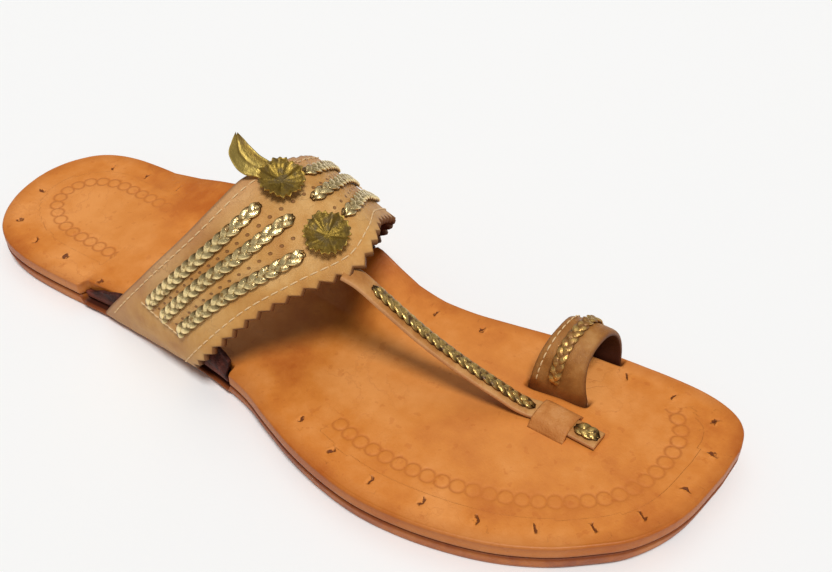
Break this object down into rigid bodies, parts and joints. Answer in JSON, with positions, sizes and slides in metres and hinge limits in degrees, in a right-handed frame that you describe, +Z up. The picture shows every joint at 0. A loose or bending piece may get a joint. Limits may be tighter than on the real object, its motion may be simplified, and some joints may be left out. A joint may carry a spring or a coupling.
{
  "type": "kolhapuri sandal",
  "caption": "Flat leather toe-loop sandal for the right foot, with a broad plaited vamp, pinked edges, gold braids, two rosettes and a leaf.",
  "frame": {"origin": "on the floor, under the middle of the sandal's box", "axes": "+Y from heel to toe, +X to the little-toe side, +Z up"},
  "size_m": [0.0868, 0.25, 0.0702],
  "materials": {
    "footbed_leather": "waxed vegetable-tanned leather",
    "sole_edge_leather": "burnished vegetable-tanned leather",
    "ear_leather": "undyed flesh side, oiled dark",
    "upper_leather": "fine-grained tan leather",
    "gold_foil_leather": "gold foil on leather strands",
    "olive_gold_leather": "dull gold foil on leather"
  },
  "bodies": {
    "root": {"outsole": "sole_edge_leather", "insole": "footbed_leather", "ear_lateral": "ear_leather", "ear_medial": "ear_leather", "upper": "upper_leather", "toe_ring": "upper_leather", "vamp_braid_lateral_back": "gold_foil_leather", "vamp_braid_medial_back": "gold_foil_leather", "vamp_braid_lateral_middle": "gold_foil_leather", "vamp_braid_medial_middle": "gold_foil_leather", "vamp_braid_lateral_front": "gold_foil_leather", "vamp_braid_medial_front": "gold_foil_leather", "toe_strap_braid": "gold_foil_leather", "tab_braid": "gold_foil_leather", "toe_ring_braid": "gold_foil_leather", "rosette_back": "olive_gold_leather", "rosette_front": "olive_gold_leather", "leaf": "olive_gold_leather"}
  },
  "joints": []
}
